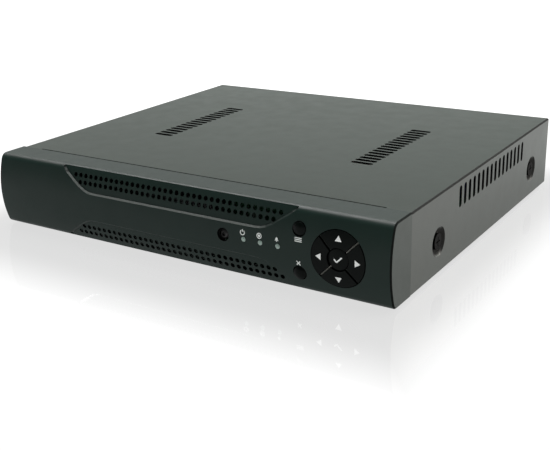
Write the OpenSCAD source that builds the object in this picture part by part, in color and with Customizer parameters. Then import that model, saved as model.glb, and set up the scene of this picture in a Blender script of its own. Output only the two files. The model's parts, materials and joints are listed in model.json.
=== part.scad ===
// Digital video recorder in a low steel case with a moulded front.
// Origin: middle of the footprint, on the surface that the feet stand on.
// +X is to the right seen from the front, +Y is to the back, +Z is up.

/* [Case] */
// Width of the steel cover
cover_w = 300; // [290:1:310]
// Height of the cover's sides
cover_h = 49; // [48:0.5:52]
// Depth from the front edge of the cover to the rear panel
cover_d = 241; // [236:1:250]
// Thickness of the sheet steel
sheet_t = 0.8; // [0.7:0.1:1.2]
// Outer radius of the cover's two long bends
bend_r = 1.2; // [1:0.1:2.5]

/* [Front moulding] */
// Depth of the front moulding, from its foremost line to the cover
bezel_d = 25; // [24:0.5:27]
// How far the front moulding stands proud of the cover at the sides
bezel_side = 0.4; // [0.3:0.1:0.8]
// How far the front moulding stands proud of the cover above and below
bezel_proud = 0.7; // [0.6:0.1:1.2]
// Wall of the front moulding
bezel_t = 2.4; // [2:0.1:2.6]
// Radius of the bulging front face
face_r = 66; // [60:1:80]
// Radius of the long front edges
edge_r = 5; // [4:0.5:6]
// Depth of the two grille recesses
recess_d = 1.4; // [1:0.1:1.6]
// Chamfer round the grille recesses
rim_c = 1.1; // [0.6:0.1:1.2]
// Chamfer along the side edges of the front moulding
side_c = 0.9; // [0.6:0.1:1.4]

/* [Grilles and vents] */
// Distance from one grille hole to the next
hole_pitch = 4.42; // [4.2:0.02:4.5]
// Radius of a grille hole
hole_r = 1.5; // [1:0.05:1.6]
// Number of slots in each vent
slot_n = 16; // [8:1:18]
// Width of a vent slot
slot_w = 4; // [2:0.1:4.2]
// Length of a slot in the top vents
top_slot_l = 15.5; // [12:0.5:18]
// Length of a slot in the side vents
side_slot_l = 13.8; // [10:0.2:14]
// Distance from one top slot to the next
top_pitch = 6.06; // [5.8:0.02:6.2]
// Distance from one side slot to the next
side_pitch = 7.49; // [7:0.01:7.6]

/* [Keys] */
// Radius of the four-way pad
pad_r = 16.6; // [16:0.1:17.4]
// Radius of the middle key
enter_r = 6.2; // [6:0.1:7]
// Radius of the two small keys
round_r = 4; // [3.8:0.1:4.6]
// Travel of every key
key_travel = 0.5; // [0.3:0.1:0.6]
// Gap between a key and the front moulding
key_gap = 0.55; // [0.3:0.05:0.7]

/* [Feet and fan] */
// Height of the rubber feet
foot_h = 2; // [2:0.1:3]
// Radius of the rubber feet
foot_r = 6.5; // [5:0.5:8]
// Width of the square fan
fan_w = 40; // [40:1:40]

/* [Hidden] */
$fn = 64;
eps = 0.02;

// Stations along Y: foremost line of the front moulding, seam, rear panel and tips of the video sockets.
led_proud = 0.5;
plug_reach = 11;
total_d = led_proud + bezel_d + cover_d + plug_reach;
y_face = -total_d / 2 + led_proud;
y_seam = y_face + bezel_d;
y_rear = y_seam + cover_d;
y_tip = y_rear + plug_reach;
seam_gap = 0.2;

// Levels along Z.
z_base = foot_h;
z_floor = z_base + sheet_t;
z_top = z_base + cover_h;
z_mid = z_base + cover_h / 2;
bezel_lo = z_base - bezel_proud;
bezel_hi = z_top + bezel_proud;
bezel_w = cover_w + 2 * bezel_side;
bezel_in = bezel_w / 2 - bezel_t;

// Steel tray.
dimple_d = 2.4;
dimple_r = 9.3;
dimple_flat_r = 6;
tray_x = cover_w / 2 - sheet_t - dimple_d;
tray_side_h = 27;
tray_front_y = y_seam + 1;
tray_front_h = 41;
lip_h = 8;
lip_y = y_rear + 0.2;
side_screw_y = [y_face + 64, y_face + 231];
side_screw_z = z_base + 19.5;
lip_screw_x = [-100, 0, 100];
lip_screw_z = z_top - 4.5;
notch_x = 134;
notch_d = 2.9;
m3_r = 1.5;
m3_clear_r = 1.8;
m3_tap_r = 1.52;

// Vents.
top_vent_x = 81.5;
top_vent_y = y_face + 99;
side_vent_y = y_face + 95.7;
side_vent_z = z_base + 38.1;

// Controls on the front: x of each and its level.
pad_x = 118.3;
pad_z = z_mid;
pad_proud = 0.3;
pad_groove = 1.4;
arrow_r = 12.2;
small_key_x = 93.2;
small_key_dz = 13.2;
round_gap = 0.45;
led_x = [55.9, 67.5, 79.4];
led_z = z_mid + 0.6;
led_r = 1.5;
ir_x = 41.3;
ir_z = z_mid + 0.9;
ir_hole_r = 4.2;
ir_lens_r = 2.8;
board_y = y_face + 16;
board_t = 1.6;
switch_d = 3.6;
key_back_y = board_y - 9.3;
stem_y = board_y - 6;
plunger_r = 1.75;
plunger_hole_r = 1.8;
switch_at = [
    [pad_x, pad_z + arrow_r], [pad_x, pad_z - arrow_r], [pad_x - arrow_r, pad_z], [pad_x + arrow_r, pad_z],
    [pad_x, pad_z], [small_key_x, z_mid + small_key_dz], [small_key_x, z_mid - small_key_dz]
];
key_board_x0 = 31;
key_board_x1 = 139;
key_board_z0 = 5;
key_board_z1 = 48;
board_boss = [[35, 9], [35, 44.5], [135.5, 9], [135.5, 44.5]];
bezel_boss = [[-142.5, 9], [-142.5, 41], [142.5, 9], [142.5, 41]];
bezel_boss_r = 3;
self_tap_r = 1.1;

// Main board.
pcb_x0 = -100;
pcb_x1 = 136;
pcb_y0 = y_face + 160;
pcb_y1 = y_rear - 3;
pcb_z = z_floor + 5;
pcb_top = pcb_z + board_t;
post_at = [[-95, pcb_y0 + 5], [20, pcb_y0 + 5], [130, pcb_y0 + 5], [-95, pcb_y0 + 70], [-20, pcb_y0 + 45],
    [131.5, pcb_y0 + 97]];
panel_in = y_rear - sheet_t;
block_y0 = y_rear - 15;
block_y1 = panel_in - 0.3;

// Rear sockets: x of each.
bnc_x0 = 67;
bnc_pitch = 17;
bnc_z = [pcb_top + 8.4, pcb_top + 24.4];
bnc_r = 4.8;
bnc_bore_r = 4.1;
rca_x = 45;
rca_z = [pcb_top + 7.5, pcb_top + 21.5];
rca_r = 4.15;
rca_pin_r = 1.65;
vga_x = 15;
vga_z = pcb_top + 7;
jack_gap = 24.99;
jack_bore_r = 1.3;
hdmi_x = -12;
lan_x = -33;
usb_x = -54;
dc_x = -76;
dc_z = pcb_top + 6;

// Fan, in the rear left corner.
fan_x = -122;
fan_z = z_floor + fan_w / 2 + 0.6;
fan_d = 10;
fan_y0 = panel_in - fan_d;
fan_bore_r = 19;
fan_screw = 16;
fan_shaft_r = 1.5;
fan_shaft_gap = 0.05;

// Disk drive, in the front left corner.
hdd_x0 = -135.5;
hdd_l = 147;
hdd_x1 = hdd_x0 + hdd_l;
hdd_w = 101.6;
hdd_h = 24.6;
hdd_y0 = y_seam + 17;
hdd_z = z_floor + 2;
hdd_screw_x = [hdd_x1 - 41.3, hdd_x1 - 85.7];
hdd_screw_y = [hdd_y0 + 3.2, hdd_y0 + 98.4];

// A cylinder along Y, from y0 to y1.
module bar_y(x, z, r, y0, y1) translate([x, y0, z]) rotate([-90, 0, 0]) cylinder(r = r, h = y1 - y0);

// A cylinder along X, from x0 to x1.
module bar_x(y, z, r, x0, x1) translate([x0, y, z]) rotate([0, 90, 0]) cylinder(r = r, h = x1 - x0);

// A box between two corners.
module box(a, b) translate(a) cube(b - a);

// A cross-slotted pan head and shank, pointing down -Z with the head above z = 0.
module pan_screw(head_r, head_h, shank_r, shank_l) {
    difference() {
        union() {
            cylinder(r = head_r, h = head_h);
            translate([0, 0, -shank_l]) cylinder(r = shank_r, h = shank_l + eps);
        }
        for (a = [0, 90]) rotate(a) translate([-head_r * 0.6, -0.4, head_h - 0.9])
            cube([head_r * 1.2, 0.8, 1]);
    }
}

// A flat strip w wide and t thick that follows points in a plane.
module strip(points, w, t) {
    linear_extrude(w) for (i = [0:len(points) - 2]) {
        step = points[i + 1] - points[i];
        translate(points[i]) {
            rotate(atan2(step[1], step[0])) translate([0, -t / 2]) square([norm(step), t]);
            if (i > 0) circle(r = t * 0.53);
        }
    }
}

// A round-ended slot along X, centred, cut through along Z.
module slot(l, w, h) {
    translate([-(l - w) / 2, -w / 2, -h / 2]) cube([l - w, w, h]);
    for (s = [-1, 1]) translate([s * (l - w) / 2, 0, -h / 2]) cylinder(r = w / 2, h = h);
}

// ---- Steel case ----

module tray_sheet() {
    box([-tray_x, tray_front_y, z_base], [tray_x, y_rear, z_floor]);
    for (s = [-1, 1]) translate([s > 0 ? tray_x - sheet_t : -tray_x, tray_front_y, z_base])
        cube([sheet_t, y_rear - tray_front_y, tray_side_h + sheet_t]);
    box([-tray_x, tray_front_y, z_base], [tray_x, tray_front_y + sheet_t, z_base + tray_front_h]);
    box([-tray_x, y_rear - sheet_t, z_base], [tray_x, y_rear, z_top - sheet_t - 0.1]);
    for (x = hdd_screw_x, y = hdd_screw_y) translate([x, y, z_base]) cylinder(r = 4.4, h = hdd_z - z_base);
}

// Air holes in the rear panel in front of the fan: rings broken by a cross.
module fan_grille() {
    difference() {
        for (r = [5, 9.5, 14]) difference() {
            bar_y(fan_x, fan_z, r + 2.6, panel_in - 1, y_rear + 1);
            bar_y(fan_x, fan_z, r, panel_in - 2, y_rear + 2);
        }
        for (a = [45, 135]) translate([fan_x, y_rear, fan_z]) rotate([0, a, 0])
            cube([40, 8, 2.4], center = true);
    }
}

module rear_holes() {
    for (i = [0:3], z = bnc_z) bar_y(bnc_x0 + i * bnc_pitch, z, 6.3, panel_in - 1, y_rear + 1);
    for (z = rca_z) bar_y(rca_x, z, 5.3, panel_in - 1, y_rear + 1);
    box([vga_x - 9, panel_in - 1, vga_z - 4.8], [vga_x + 9, y_rear + 1, vga_z + 4.8]);
    for (s = [-1, 1]) bar_y(vga_x + s * jack_gap / 2, vga_z, 1.7, panel_in - 1, y_rear + 1);
    box([hdmi_x - 8, panel_in - 1, pcb_top - 0.3], [hdmi_x + 8, y_rear + 1, pcb_top + 6.5]);
    box([lan_x - 8.3, panel_in - 1, pcb_top - 0.3], [lan_x + 8.3, y_rear + 1, pcb_top + 13.8]);
    box([usb_x - 7, panel_in - 1, pcb_top - 0.3], [usb_x + 7, y_rear + 1, pcb_top + 16]);
    box([dc_x - 4.8, panel_in - 1, pcb_top - 0.3], [dc_x + 4.8, y_rear + 1, pcb_top + 11.4]);
    for (sx = [-1, 1], sz = [-1, 1])
        bar_y(fan_x + sx * fan_screw, fan_z + sz * fan_screw, 1.8, panel_in - 1, y_rear + 1);
    for (x = lip_screw_x) bar_y(x, lip_screw_z, m3_tap_r, panel_in - 1, y_rear + 1);
    fan_grille();
}

module base_chassis() color([0.12, 0.12, 0.12]) difference() {
    tray_sheet();
    rear_holes();
    for (s = [-1, 1], y = side_screw_y)
        bar_x(y, side_screw_z, m3_tap_r, s * (tray_x - 0.5) - 2, s * (tray_x - 0.5) + 2);
    for (x = hdd_screw_x, y = hdd_screw_y) translate([x, y, z_base - 1]) cylinder(r = 1.9, h = 6);
    for (p = post_at) translate([p[0], p[1], z_base - 1]) cylinder(r = 2.2, h = 4);
    for (p = bezel_boss) bar_y(p[0], p[1], 1.8, tray_front_y - 1, tray_front_y + 2);
    // air and cable windows in the front wall
    for (x = [-108, -42]) box([x, tray_front_y - 1, 9], [x + 56, tray_front_y + 2, 37]);
    box([40, tray_front_y - 1, 9], [120, tray_front_y + 2, 37]);
    // air slots in the floor under the main board
    for (i = [0:9], y = [pcb_y0 + 25, pcb_y0 + 62])
        translate([60 + i * 7, y, z_base]) rotate(90) slot(26, 3, 4);
}

// Threaded posts pressed into the floor under the main board.
module board_standoffs() color([0.78, 0.78, 0.8]) for (p = post_at) translate([p[0], p[1], z_base])
    difference() {
        union() {
            cylinder(r = 2.15, h = sheet_t + 1);
            translate([0, 0, sheet_t + 0.05]) cylinder(r = 2.8, h = pcb_z - z_floor - 0.05);
        }
        translate([0, 0, -1]) cylinder(r = m3_tap_r, h = 10);
    }

module cover_sheet() {
    difference() {
        union() {
            box([-cover_w / 2, y_seam + seam_gap, z_base], [cover_w / 2, lip_y + sheet_t, z_top - bend_r]);
            box([-cover_w / 2 + bend_r, y_seam + seam_gap, z_base],
                [cover_w / 2 - bend_r, lip_y + sheet_t, z_top]);
            for (s = [-1, 1]) bar_y(s * (cover_w / 2 - bend_r), z_top - bend_r, bend_r,
                y_seam + seam_gap, lip_y + sheet_t);
        }
        box([-cover_w / 2 + sheet_t, y_seam - 1, z_base - 1], [cover_w / 2 - sheet_t, lip_y, z_top - bend_r]);
        box([-cover_w / 2 + bend_r, y_seam - 1, z_base - 1], [cover_w / 2 - bend_r, lip_y, z_top - sheet_t]);
        for (s = [-1, 1])
            bar_y(s * (cover_w / 2 - bend_r), z_top - bend_r, bend_r - sheet_t, y_seam - 1, lip_y);
        box([-cover_w / 2 + sheet_t, lip_y - 1, z_base - 1],
            [cover_w / 2 - sheet_t, lip_y + 2, z_top - lip_h]);
    }
    // pressed bosses behind the side screws
    for (s = [-1, 1], y = side_screw_y) translate([s * (cover_w / 2 - sheet_t), y, side_screw_z])
        rotate([0, -s * 90, 0]) cylinder(r1 = dimple_r, r2 = dimple_flat_r + 0.6, h = dimple_d);
}

module top_cover() color([0.28, 0.30, 0.29]) difference() {
    cover_sheet();
    for (sx = [-1, 1], i = [0:slot_n - 1])
        translate([sx * top_vent_x, top_vent_y + i * top_pitch, z_top]) slot(top_slot_l, slot_w, 8);
    for (s = [-1, 1], i = [0:slot_n - 1])
        translate([s * cover_w / 2, side_vent_y + i * side_pitch, side_vent_z])
            rotate([0, 90, 0]) slot(side_slot_l, slot_w, 8);
    for (s = [-1, 1], y = side_screw_y) {
        translate([s * (cover_w / 2 + eps), y, side_screw_z]) rotate([0, -s * 90, 0])
            cylinder(r1 = dimple_r, r2 = dimple_flat_r, h = dimple_d + eps);
        bar_x(y, side_screw_z, m3_clear_r, s * (cover_w / 2) - 5, s * (cover_w / 2) + 5);
    }
    for (x = lip_screw_x) bar_y(x, lip_screw_z, m3_clear_r, lip_y - 0.15, lip_y + 2);
    // shallow cut-back along the front edge of the top
    box([-notch_x, y_seam - 1, z_top - 3], [notch_x, y_seam + notch_d, z_top + 1]);
}

// ---- Front moulding ----

// A prism whose front follows the bulging face, inset by d, between two levels.
module face_body(d, w, z0, z1, y1) {
    intersection() {
        bar_x(y_face + face_r, z_mid, face_r - d, -w / 2, w / 2);
        box([-w, y_face - 10, z0], [w, y1, z1]);
    }
}

edge_dz = cover_h / 2 + bezel_proud - edge_r;
edge_y = y_face + face_r - sqrt(pow(face_r - edge_r, 2) - pow(edge_dz, 2));
edge_meet = edge_dz * face_r / (face_r - edge_r);
side_x = bezel_w / 2 - side_c;

// A bar along X between -w / 2 and w / 2 whose two ends are chamfered by c.
module chamfered_bar(y, z, r, w, c) {
    bar_x(y, z, r, -w / 2 + c, w / 2 - c);
    for (s = [-1, 1]) translate([s * (w / 2 - c), y, z]) rotate([0, s * 90, 0])
        cylinder(r1 = r, r2 = r - c, h = c);
}

module bezel_solid() {
    intersection() {
        chamfered_bar(y_face + face_r, z_mid, face_r, bezel_w, side_c);
        box([-bezel_w, y_face - 10, z_mid - edge_meet], [bezel_w, y_seam, z_mid + edge_meet]);
    }
    translate([0, y_seam, 0]) rotate([90, 0, 0]) linear_extrude(y_seam - edge_y) polygon([
        [side_x, bezel_lo], [bezel_w / 2, bezel_lo + side_c],
        [bezel_w / 2, bezel_hi - side_c], [side_x, bezel_hi],
        [-side_x, bezel_hi], [-bezel_w / 2, bezel_hi - side_c],
        [-bezel_w / 2, bezel_lo + side_c], [-side_x, bezel_lo]]);
    for (s = [-1, 1]) chamfered_bar(edge_y, z_mid + s * edge_dz, edge_r, bezel_w, side_c);
}

// Right half of a recess outline: distance from the middle, and distance above or below mid-height.
recess_path = [[63, 9.8], [67, 10.15], [70.5, 11.2], [74.5, 13.3], [79.5, 16.5], [84.5, 19.8], [87.4, 22],
    [90.3, 24.2]];
recess_end_z = cover_h / 2 + 2;
recess_end_x = recess_path[len(recess_path) - 1][0];

// Outline of a grille recess, open towards the edge; up is 1 for the upper one and -1 for the lower.
module recess_outline(up) translate([0, 0, z_mid]) rotate([90, 0, 0]) linear_extrude(60, center = true)
    polygon([for (i = [0:len(recess_path) - 1]) [recess_path[i][0], up * recess_path[i][1]],
        [recess_end_x, up * recess_end_z], [-recess_end_x, up * recess_end_z],
        for (i = [len(recess_path) - 1:-1:0]) [-recess_path[i][0], up * recess_path[i][1]]]);

// Depth of the outer surface, dz above mid-height: the bulging front, then the rounded edge.
function face_depth(dz) = abs(dz) < edge_meet ? y_face + face_r - sqrt(face_r * face_r - dz * dz)
    : edge_y - sqrt(edge_r * edge_r - pow(abs(dz) - edge_dz, 2));

// Point on the outer surface at x, dz above mid-height.
function on_face(x, dz) = [x, face_depth(dz), z_mid + dz];

// Square prism round the line from p to q that chamfers an edge there by c.
module edge_cutter(p, q, c) {
    t = (q - p) / norm(q - p);
    a = cross(t, [0, 1, 0]) / norm(cross(t, [0, 1, 0]));
    b = cross(t, a);
    multmatrix([[t[0], a[0], b[0], p[0]], [t[1], a[1], b[1], p[1]], [t[2], a[2], b[2], p[2]], [0, 0, 0, 1]])
        rotate([45, 0, 0]) translate([-0.1, -c * sqrt(0.5), -c * sqrt(0.5)])
            cube([norm(q - p) + 0.2, c * sqrt(2), c * sqrt(2)]);
}

module rim_cut(up) {
    first = recess_path[0];
    edge_cutter(on_face(-first[0], up * first[1]), on_face(first[0], up * first[1]), rim_c);
    for (s = [-1, 1], i = [0:len(recess_path) - 2]) edge_cutter(
        on_face(s * recess_path[i][0], up * recess_path[i][1]),
        on_face(s * recess_path[i + 1][0], up * recess_path[i + 1][1]), rim_c);
}

module recess_cut(up) {
    difference() {
        intersection() {
            translate([0, y_face, 0]) recess_outline(up);
            box([-100, y_face - 5, bezel_lo], [100, y_face + 12, bezel_hi]);
        }
        bar_x(y_face + face_r, z_mid, face_r - recess_d, -110, 110);
    }
}

module grille_holes() {
    for (up = [-1, 1], row = [0, 1]) {
        n = row == 0 ? 35 : 37;
        z = z_mid + up * (15.3 + row * hole_pitch);
        for (i = [0:n - 1]) bar_y((i - (n - 1) / 2) * hole_pitch, z, hole_r, y_face - 2, y_face + 12);
    }
}

module bezel_openings() {
    for (up = [-1, 1]) {
        recess_cut(up);
        rim_cut(up);
    }
    grille_holes();
    bar_y(pad_x, pad_z, pad_r + key_gap, y_face - 5, y_face + 12);
    for (s = [-1, 1])
        bar_y(small_key_x, z_mid + s * small_key_dz, round_r + round_gap, y_face - 5, y_face + 12);
    for (x = led_x) bar_y(x, led_z, led_r + 0.1, y_face - 5, y_face + 12);
    bar_y(ir_x, ir_z, ir_hole_r, y_face - 5, y_face + 12);
}

// Ribs set back in the gaps between the four arrow keys.
module pad_ribs() intersection() {
    for (a = [45:90:315]) translate([pad_x, y_face, pad_z]) rotate([0, a, 0])
        translate([enter_r + 0.4, 0, -0.35]) cube([pad_r + key_gap - enter_r + 0.2, 5, 0.7]);
    bar_x(y_face + face_r, z_mid, face_r - 0.9, pad_x - 30, pad_x + 30);
}

module front_bezel() color([0.13, 0.16, 0.155]) {
    pad_ribs();
    difference() {
        union() {
            difference() {
                bezel_solid();
                face_body(bezel_t, 2 * bezel_in, bezel_lo + bezel_t, bezel_hi - bezel_t, y_seam + 1);
            }
            // posts for the key board and for the case screws
            difference() {
                union() {
                    for (p = board_boss) bar_y(p[0], p[1], bezel_boss_r, y_face + 1.5, board_y);
                    for (p = bezel_boss) bar_y(p[0], p[1], bezel_boss_r, y_face + 1.5, tray_front_y);
                }
                difference() {
                    box([-160, y_face - 10, 0], [160, y_face + 12, 60]);
                    bar_x(y_face + face_r, z_mid, face_r - 1, -170, 170);
                }
            }
            // tongues that slip under the cover, at the ends of the top and along the sides
            tongue_x = cover_w / 2 - sheet_t - 0.3;
            for (s = [-1, 1]) {
                translate([s > 0 ? notch_x + 1 : -notch_x - 13.5, y_seam - 2, z_top - sheet_t - 1.5])
                    cube([12.5, 5, 1.2]);
                translate([s > 0 ? tongue_x - 1.2 : -tongue_x, y_seam - 2, z_floor + 3])
                    cube([1.2, 5, z_top - z_floor - 5.8]);
            }
        }
        bezel_openings();
        for (p = board_boss) bar_y(p[0], p[1], self_tap_r, board_y - 7, board_y + 1);
        for (p = bezel_boss) bar_y(p[0], p[1], self_tap_r, tray_front_y - 8, tray_front_y + 1);
    }
}

module rubber_feet() color([0.08, 0.08, 0.08])
    for (x = [-125, 125], y = [y_face + 43, y_face + 243]) translate([x, y, 0]) difference() {
        cylinder(r = foot_r, h = foot_h);
        translate([0, 0, -eps]) cylinder(r = 2, h = 0.8);
    }

module side_screws() color([0.1, 0.1, 0.1])
    for (s = [-1, 1], y = side_screw_y) translate([s * (cover_w / 2 - dimple_d), y, side_screw_z])
        rotate([0, s * 90, 0]) pan_screw(5, 2, m3_r, 5);

// Short machine screws: three in the cover's rear lip and six in the main board.
module machine_screws() color([0.7, 0.7, 0.72]) {
    for (x = lip_screw_x) translate([x, lip_y + sheet_t, lip_screw_z]) rotate([-90, 0, 0])
        pan_screw(2.7, 1.8, m3_r, 5);
    for (p = post_at) translate([p[0], p[1], pcb_top]) pan_screw(2.7, 1.8, m3_r, 5);
}

module bezel_screws() color([0.6, 0.6, 0.62]) {
    for (p = board_boss) translate([p[0], board_y + board_t, p[1]]) rotate([-90, 0, 0])
        pan_screw(2.4, 1.6, 1.08, 7);
    for (p = bezel_boss) translate([p[0], tray_front_y + sheet_t, p[1]]) rotate([-90, 0, 0])
        pan_screw(2.4, 1.6, 1.08, 7);
}

// ---- Controls ----

module ir_receiver() color([0.06, 0.05, 0.07]) {
    difference() {
        union() {
            bar_y(ir_x, ir_z, ir_lens_r, y_face + 2, board_y - 8);
            intersection() {
                bar_y(ir_x, ir_z, ir_lens_r, y_face, y_face + 2 + eps);
                translate([ir_x, y_face + 4.7, ir_z]) sphere(r = 4);
            }
        }
        bar_y(ir_x, ir_z, 1.3, y_face - 1, y_face + 2);
    }
    box([ir_x - 4, board_y - 10, ir_z - 5], [ir_x + 4, board_y - 6, ir_z + 5]);
    for (i = [-1:1]) translate([ir_x + i * 2.54 - 0.25, board_y - 6.5, ir_z - 4]) cube([0.5, 6.5, 0.5]);
}

module status_leds() color([0.55, 0.62, 0.58]) for (x = led_x) {
    intersection() {
        bar_y(x, led_z, led_r, y_face - 2, y_face + 6);
        translate([x, y_face - led_proud + 2.4, led_z]) sphere(r = 2.4);
    }
    bar_y(x, led_z, led_r, y_face + 2, y_face + 6);
    bar_y(x, led_z, led_r + 0.4, y_face + 5, y_face + 6);
    for (s = [-1, 1]) bar_y(x + s * 0.9, led_z, 0.25, y_face + 5.9, board_y);
}

module key_board() color([0.05, 0.25, 0.12]) difference() {
    box([key_board_x0, board_y, key_board_z0], [key_board_x1, board_y + board_t, key_board_z1]);
    for (p = board_boss) bar_y(p[0], p[1], 1.4, board_y - 1, board_y + 3);
}

module tact_switches() color([0.12, 0.12, 0.12]) for (p = switch_at) difference() {
    box([p[0] - 3, board_y - switch_d, p[1] - 3], [p[0] + 3, board_y, p[1] + 3]);
    bar_y(p[0], p[1], plunger_hole_r, board_y - switch_d - 1, board_y - 1.2);
}

module plunger(i) color([0.75, 0.72, 0.6])
    bar_y(switch_at[i][0], switch_at[i][1], plunger_r, stem_y, board_y - 2.2);

// A pad key: a quarter of the ring, turned by a degrees about the middle key.
module pad_key(a) {
    half = pad_groove * sqrt(2) / 2;
    inner_r = enter_r + 0.7;
    dir = [cos(a), sin(a)];
    color([0.03, 0.03, 0.035]) {
        intersection() {
            difference() {
                union() {
                    bar_y(pad_x, pad_z, pad_r, y_face - 3, key_back_y);
                    bar_y(pad_x, pad_z, pad_r + 1.3, key_back_y - 1.2, key_back_y);
                }
                bar_y(pad_x, pad_z, inner_r, y_face - 4, key_back_y + 1);
            }
            bar_x(y_face + face_r, z_mid, face_r + pad_proud, pad_x - 30, pad_x + 30);
            translate([pad_x, 0, pad_z]) rotate([90, 0, 0]) linear_extrude(400, center = true)
                rotate(a) polygon([[half, 0], [40, 40 - half], [40, half - 40]]);
        }
        bar_y(pad_x + arrow_r * dir[0], pad_z + arrow_r * dir[1], 2, key_back_y - 0.5, stem_y);
    }
}

module key_up() pad_key(90);
module key_down() pad_key(-90);
module key_left() pad_key(180);
module key_right() pad_key(0);

module key_enter() color([0.035, 0.035, 0.04]) {
    intersection() {
        bar_y(pad_x, pad_z, enter_r, y_face - 3, key_back_y);
        translate([pad_x, y_face + 29.9, pad_z]) sphere(r = 30, $fn = 128);
    }
    bar_y(pad_x, pad_z, enter_r - 0.1, key_back_y - 1, key_back_y);
    bar_y(pad_x, pad_z, 2, key_back_y - 0.5, stem_y);
}

// A small round key with a domed cap and a collar behind the front moulding.
module round_key(z) color([0.035, 0.035, 0.04]) {
    intersection() {
        bar_y(small_key_x, z, round_r, y_face - 3, key_back_y);
        translate([small_key_x, y_face + 8.2, z]) sphere(r = 8);
    }
    bar_y(small_key_x, z, round_r, y_face + 5, key_back_y);
    bar_y(small_key_x, z, round_r + 1.2, key_back_y - 1.2, key_back_y);
    bar_y(small_key_x, z, 2, key_back_y - 0.5, stem_y);
}

module key_menu() round_key(z_mid + small_key_dz);
module key_escape() round_key(z_mid - small_key_dz);

// Flat ribbon from the key board to the main board.
ribbon_x0 = 52;
ribbon_w = 16;
module key_cable() color([0.85, 0.85, 0.82]) translate([ribbon_x0, 0, 0]) rotate([90, 0, 90]) strip([
    [board_y + board_t + 3, 20], [y_seam + 6, 20], [y_seam + 10, 16], [y_seam + 11, 8], [y_seam + 14, 5],
    [pcb_y0 - 6, 5], [pcb_y0 - 1, 11.5], [pcb_y0 + 9, 11.5]], ribbon_w, 0.5);

// ---- Main board ----

module main_board() color([0.04, 0.24, 0.12]) difference() {
    box([pcb_x0, pcb_y0, pcb_z], [pcb_x1, pcb_y1, pcb_top]);
    for (p = post_at) translate([p[0], p[1], pcb_z - 1]) cylinder(r = 1.6, h = 4);
}

soc = [44, pcb_y0 + 52];
module chip(x, y, w, d, h) translate([x - w / 2, y - d / 2, pcb_top]) cube([w, d, h]);

module board_chips() color([0.07, 0.07, 0.08]) {
    chip(soc[0], soc[1], 21, 21, 1.8);
    for (i = [0:1], s = [-1, 1]) chip(soc[0] + s * 32, soc[1] - 8 + i * 16, 9, 13, 1.1);
    chip(-4, pcb_y0 + 22, 8, 5.5, 1.6);
    chip(100, pcb_y0 + 45, 14, 14, 1.2);
    chip(100, pcb_y0 + 68, 14, 14, 1.2);
    chip(lan_x, pcb_y0 + 62, 16, 12, 5.5);
    for (x = [-84, -68]) chip(x, pcb_y0 + 52, 10, 10, 4.5);
    translate([-58, pcb_y0 + 18, pcb_top]) difference() {
        cylinder(r = 6, h = 8);
        translate([0, 0, 7]) cylinder(r = 1, h = 2);
    }
}

module board_capacitors() color([0.12, 0.14, 0.3])
    for (p = [[-88, 30], [-78, 30], [-88, 68], [-66, 72], [118, 22], [108, 22]])
        translate([p[0], pcb_y0 + p[1], pcb_top]) cylinder(r = 4, h = 11);

sata_x = 36;
power_x = 20;
fan_plug_x = -78;
module board_headers() color([0.9, 0.9, 0.86]) {
    // ribbon sockets on the key board and on the main board
    box([ribbon_x0 - 2, board_y + board_t, 17.5], [ribbon_x0 + ribbon_w + 2, board_y + board_t + 3, 22.5]);
    box([ribbon_x0 - 2, pcb_y0 + 9, pcb_top], [ribbon_x0 + ribbon_w + 2, pcb_y0 + 14, pcb_top + 3.5]);
    // drive sockets, fan socket and the ring that holds the coin cell
    box([sata_x - 6, pcb_y0 + 2, pcb_top], [sata_x - 1, pcb_y0 + 9, pcb_top + 6]);
    box([sata_x + 1, pcb_y0 + 2, pcb_top], [sata_x + 6, pcb_y0 + 9, pcb_top + 6]);
    box([power_x - 18, pcb_y0 + 2, pcb_top], [power_x - 6, pcb_y0 + 9, pcb_top + 8]);
    box([fan_plug_x - 4, pcb_y0 + 40, pcb_top], [fan_plug_x + 4, pcb_y0 + 44, pcb_top + 7]);
    translate([-30, pcb_y0 + 20, pcb_top]) difference() {
        cylinder(r = 12, h = 4);
        translate([0, 0, 1]) cylinder(r = 10.1, h = 4);
    }
}

module coin_cell() color([0.8, 0.8, 0.8]) translate([-30, pcb_y0 + 20, pcb_top + 1]) {
    cylinder(r = 10, h = 3);
    cylinder(r = 8.5, h = 3.3);
}

module heatsink() color([0.75, 0.76, 0.78]) translate([soc[0] - 19, soc[1] - 19, pcb_top + 1.8]) {
    cube([38, 38, 3]);
    for (i = [0:8]) translate([i * 4.55, 0, 2]) cube([1.6, 38, 11]);
}

// ---- Rear sockets ----

module bnc_block() color([0.06, 0.06, 0.06]) difference() {
    box([bnc_x0 - 9, block_y0, pcb_top], [bnc_x0 + 3 * bnc_pitch + 9, block_y1, pcb_top + 32.5]);
    for (i = [0:3], z = bnc_z) bar_y(bnc_x0 + i * bnc_pitch, z, 2.45, block_y1 - 4, block_y1 + 1);
}

module bnc_shells() color([0.78, 0.78, 0.76]) for (i = [0:3], z = bnc_z) {
    x = bnc_x0 + i * bnc_pitch;
    difference() {
        union() {
            bar_y(x, z, 6, block_y1, y_rear + 2.2);
            bar_y(x, z, bnc_r, y_rear + 2, y_tip);
            translate([x, y_rear + 7, z]) rotate([0, 90, 0]) cylinder(r = 1, h = 12.2, center = true);
        }
        bar_y(x, z, bnc_bore_r, block_y1 - 1, y_tip + 1);
    }
}

module bnc_insulators() color([0.92, 0.92, 0.9]) for (i = [0:3], z = bnc_z) {
    x = bnc_x0 + i * bnc_pitch;
    difference() {
        union() {
            bar_y(x, z, bnc_bore_r - 0.05, block_y1 + 0.05, y_rear + 2);
            bar_y(x, z, 2.4, block_y1 - 3.9, y_tip - 1);
        }
        bar_y(x, z, 0.9, block_y1 - 2, y_tip + 1);
    }
}

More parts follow.
